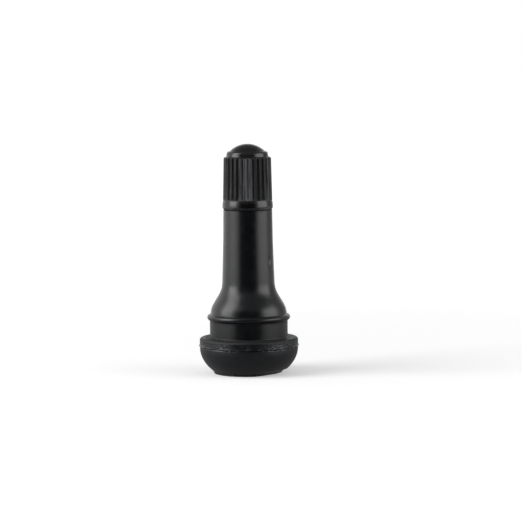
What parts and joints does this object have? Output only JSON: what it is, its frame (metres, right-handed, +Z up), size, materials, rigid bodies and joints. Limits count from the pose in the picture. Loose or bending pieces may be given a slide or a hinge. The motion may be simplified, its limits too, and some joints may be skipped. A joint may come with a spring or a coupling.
{
  "type": "tyre valve",
  "caption": "Snap-in rubber tyre valve: a brass stem moulded into a rubber body that seals in a wheel rim's hole, with a spring-loaded core and a fluted screw cap.",
  "frame": {"origin": "centre of the flat underside of the rubber base, on the valve's axis", "axes": "+Z up along the valve's axis, from the base to the cap's dome; the picture looks along +Y, with +X to its right"},
  "size_m": [0.0196, 0.0196, 0.0446],
  "materials": {
    "body_rubber": "satin moulded black rubber",
    "cap_plastic": "satin black moulded plastic",
    "stem_brass": "turned and threaded",
    "core_brass": "fine turned",
    "pin_brass": "drawn wire",
    "spring_steel": "drawn wire",
    "gasket_white": "waxy white sealing plastic",
    "seal_rubber": "matt black rubber"
  },
  "bodies": {
    "valve": {"rubber_body": "body_rubber", "stem_insert": "stem_brass", "core_plug": "core_brass", "core_barrel": "core_brass", "barrel_gasket": "gasket_white", "core_spring": "spring_steel"},
    "seal_ring": {"cap_seal": "seal_rubber"},
    "cap": {"cap": "cap_plastic"},
    "pin": {"core_pin": "pin_brass", "plunger_cup": "core_brass", "plunger_gasket": "seal_rubber"}
  },
  "joints": [
    {"name": "cap_lift", "type": "slide", "parent": "valve", "child": "seal_ring", "axis": [0, 0, 1], "range_m": [0, 0.0103]},
    {"name": "cap_turn", "type": "hinge", "parent": "seal_ring", "child": "cap", "pos_m": [0, 0, 0.03185], "axis": [0, 0, 1], "range_deg": [0, 4680]},
    {"name": "pin_press", "type": "slide", "parent": "valve", "child": "pin", "axis": [0, 0, -1], "range_m": [0, 0.001], "stiffness_N_per_m": 800, "deforming": ["core_spring"]}
  ],
  "couplings": [
    {"joint": "cap_turn", "follows": "cap_lift", "rad_per_m": 7915.8}
  ]
}
